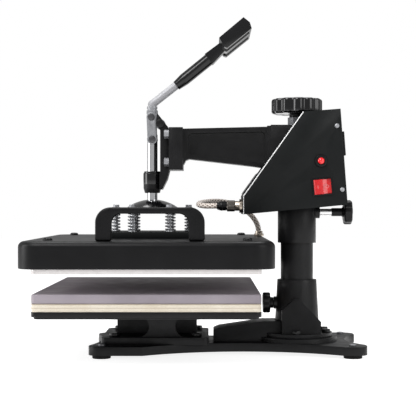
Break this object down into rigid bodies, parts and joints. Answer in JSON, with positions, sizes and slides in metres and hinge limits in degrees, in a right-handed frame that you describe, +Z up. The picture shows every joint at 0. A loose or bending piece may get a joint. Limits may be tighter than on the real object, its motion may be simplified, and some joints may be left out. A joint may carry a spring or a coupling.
{
  "type": "heat press",
  "caption": "Swing-away heat press with a toggle lever, a spring-mounted heated platen over a padded lower platen, and a tilted control box.",
  "frame": {"origin": "centre of the bounding box's base, on the surface that the rubber feet stand on", "axes": "+X towards the back of the press where the post and control box are, +Y towards the side without the loop handle, +Z up"},
  "size_m": [0.47, 0.41, 0.4793],
  "materials": {
    "cast_black": "satin powder coat",
    "sheet_black": "fine texture powder coat",
    "cover_black": "satin powder coat",
    "plastic_black": "satin",
    "gloss_black": "gloss",
    "black_steel": "black oxide",
    "rubber_black": "matte",
    "zinc": "zinc plated",
    "chrome": "polished",
    "spring_steel": "bright",
    "bronze": "machined",
    "nickel": "nickel plated",
    "silicone": "matte",
    "foam": "open cell",
    "aluminium": "machined",
    "element_metal": "heat darkened",
    "insulation": "fibre board",
    "board_green": "laminate",
    "screen": "gloss",
    "lamp_red": "translucent gloss",
    "rocker_red": "gloss",
    "key_grey": "satin",
    "lead_sleeve": "braided glass fibre"
  },
  "bodies": {
    "base": {"base_casting": "cast_black", "rubber_feet": "rubber_black", "foot_screws": "zinc", "post_socket": "cast_black", "post": "cast_black", "thrust_washer": "bronze", "pedestal": "cast_black", "base_bolts": "black_steel", "lower_tray": "cast_black", "foam_layer": "foam", "silicone_pad": "silicone"},
    "socket_knob": {"socket_lock_knob": "plastic_black"},
    "head": {"swivel_sleeve": "cast_black", "swivel_bush": "bronze", "swivel_yoke": "cast_black", "arm_hinge_pin": "zinc", "lift_trunnion": "zinc"},
    "swing_knob": {"swing_lock_knob": "plastic_black"},
    "arm": {"swing_arm": "cast_black", "toggle_head": "cast_black", "flange_bolts": "zinc", "ram_bushing": "gloss_black", "lever_pivot_pin": "black_steel", "box_shell": "sheet_black", "box_near_panel": "sheet_black", "box_screws": "zinc", "controller_module": "plastic_black", "controller_screen": "screen", "lamp_bezel": "plastic_black", "lamp_lens": "lamp_red", "rocker_frame": "plastic_black", "power_inlet": "plastic_black", "circuit_board": "board_green", "connector_socket": "nickel", "connector_plug": "plastic_black", "heater_lead": "lead_sleeve"},
    "pressure_knob": {"pressure_knob": "gloss_black", "pressure_screw": "zinc"},
    "lever": {"lever_hub": "zinc", "lever_nut": "zinc", "lever_bar": "zinc", "lever_grip": "plastic_black"},
    "link": {"toggle_link": "zinc", "link_pins": "zinc"},
    "ram": {"ram": "chrome", "pressure_dome": "gloss_black"},
    "platen": {"platen_springs": "spring_steel", "spring_plate": "sheet_black", "spring_bolts": "zinc", "platen_cover": "cover_black", "platen_handle": "cast_black", "heat_platen": "aluminium", "heating_element": "element_metal", "insulation_board": "insulation", "cover_screws": "black_steel", "cable_gland": "nickel"},
    "rocker": {"rocker": "rocker_red"},
    "key_up": {"button_up": "key_grey"},
    "key_set": {"button_set": "key_grey"},
    "key_down": {"button_down": "key_grey"}
  },
  "joints": [
    {"name": "head_swing", "type": "hinge", "parent": "base", "child": "head", "pos_m": [0.143, 0, 0.18], "axis": [0, 0, 1], "continuous": true},
    {"name": "socket_lock_turn", "type": "hinge", "parent": "base", "child": "socket_knob", "pos_m": [0.098, 0, 0.071], "axis": [1, 0, 0], "continuous": true},
    {"name": "swing_lock_turn", "type": "hinge", "parent": "head", "child": "swing_knob", "pos_m": [0.203, 0, 0.203], "axis": [1, 0, 0], "continuous": true},
    {"name": "arm_tilt", "type": "hinge", "parent": "head", "child": "arm", "pos_m": [0.183, 0, 0.272], "axis": [0, 1, 0], "range_deg": [0, 1.9]},
    {"name": "pressure_knob_turn", "type": "hinge", "parent": "arm", "child": "pressure_knob", "pos_m": [0.143, 0, 0.357], "axis": [0, 0, 1], "range_deg": [-1, 361]},
    {"name": "lever_pull", "type": "hinge", "parent": "arm", "child": "lever", "pos_m": [-0.056, 0, 0.331], "axis": [0, -1, 0], "range_deg": [0, 115]},
    {"name": "link_swing", "type": "hinge", "parent": "lever", "child": "link", "pos_m": [-0.0693, 0, 0.3412], "axis": [0, -1, 0], "range_deg": [-134.4, 2]},
    {"name": "ram_slide", "type": "slide", "parent": "arm", "child": "ram", "axis": [0, 0, -1], "range_m": [-0.0002, 0.02568], "deforming": ["heater_lead"]},
    {"name": "platen_float", "type": "slide", "parent": "ram", "child": "platen", "axis": [0, 0, 1], "range_m": [0, 0.004], "stiffness_N_per_m": 30000, "springref_m": -0.006, "deforming": ["platen_springs"]},
    {"name": "rocker_tilt", "type": "hinge", "parent": "arm", "child": "rocker", "pos_m": [0.1745, -0.058, 0.239], "axis": [-0.0921, 0, 0.9957], "range_deg": [-14, 0]},
    {"name": "key_up_press", "type": "slide", "parent": "arm", "child": "key_up", "axis": [0.8147, 0, -0.5799], "range_m": [0, 0.0008], "stiffness_N_per_m": 300, "springref_m": -0.0003},
    {"name": "key_set_press", "type": "slide", "parent": "arm", "child": "key_set", "axis": [0.8147, 0, -0.5799], "range_m": [0, 0.0008], "stiffness_N_per_m": 300, "springref_m": -0.0003},
    {"name": "key_down_press", "type": "slide", "parent": "arm", "child": "key_down", "axis": [0.8147, 0, -0.5799], "range_m": [0, 0.0008], "stiffness_N_per_m": 300, "springref_m": -0.0003}
  ],
  "couplings": [
    {"joint": "pressure_knob_turn", "follows": "arm_tilt", "ratio": 189.47},
    {"joint": "link_swing", "follows": "lever_pull", "ratio": -1.1511},
    {"joint": "ram_slide", "follows": "lever_pull", "m_per_rad": 0.012695}
  ]
}
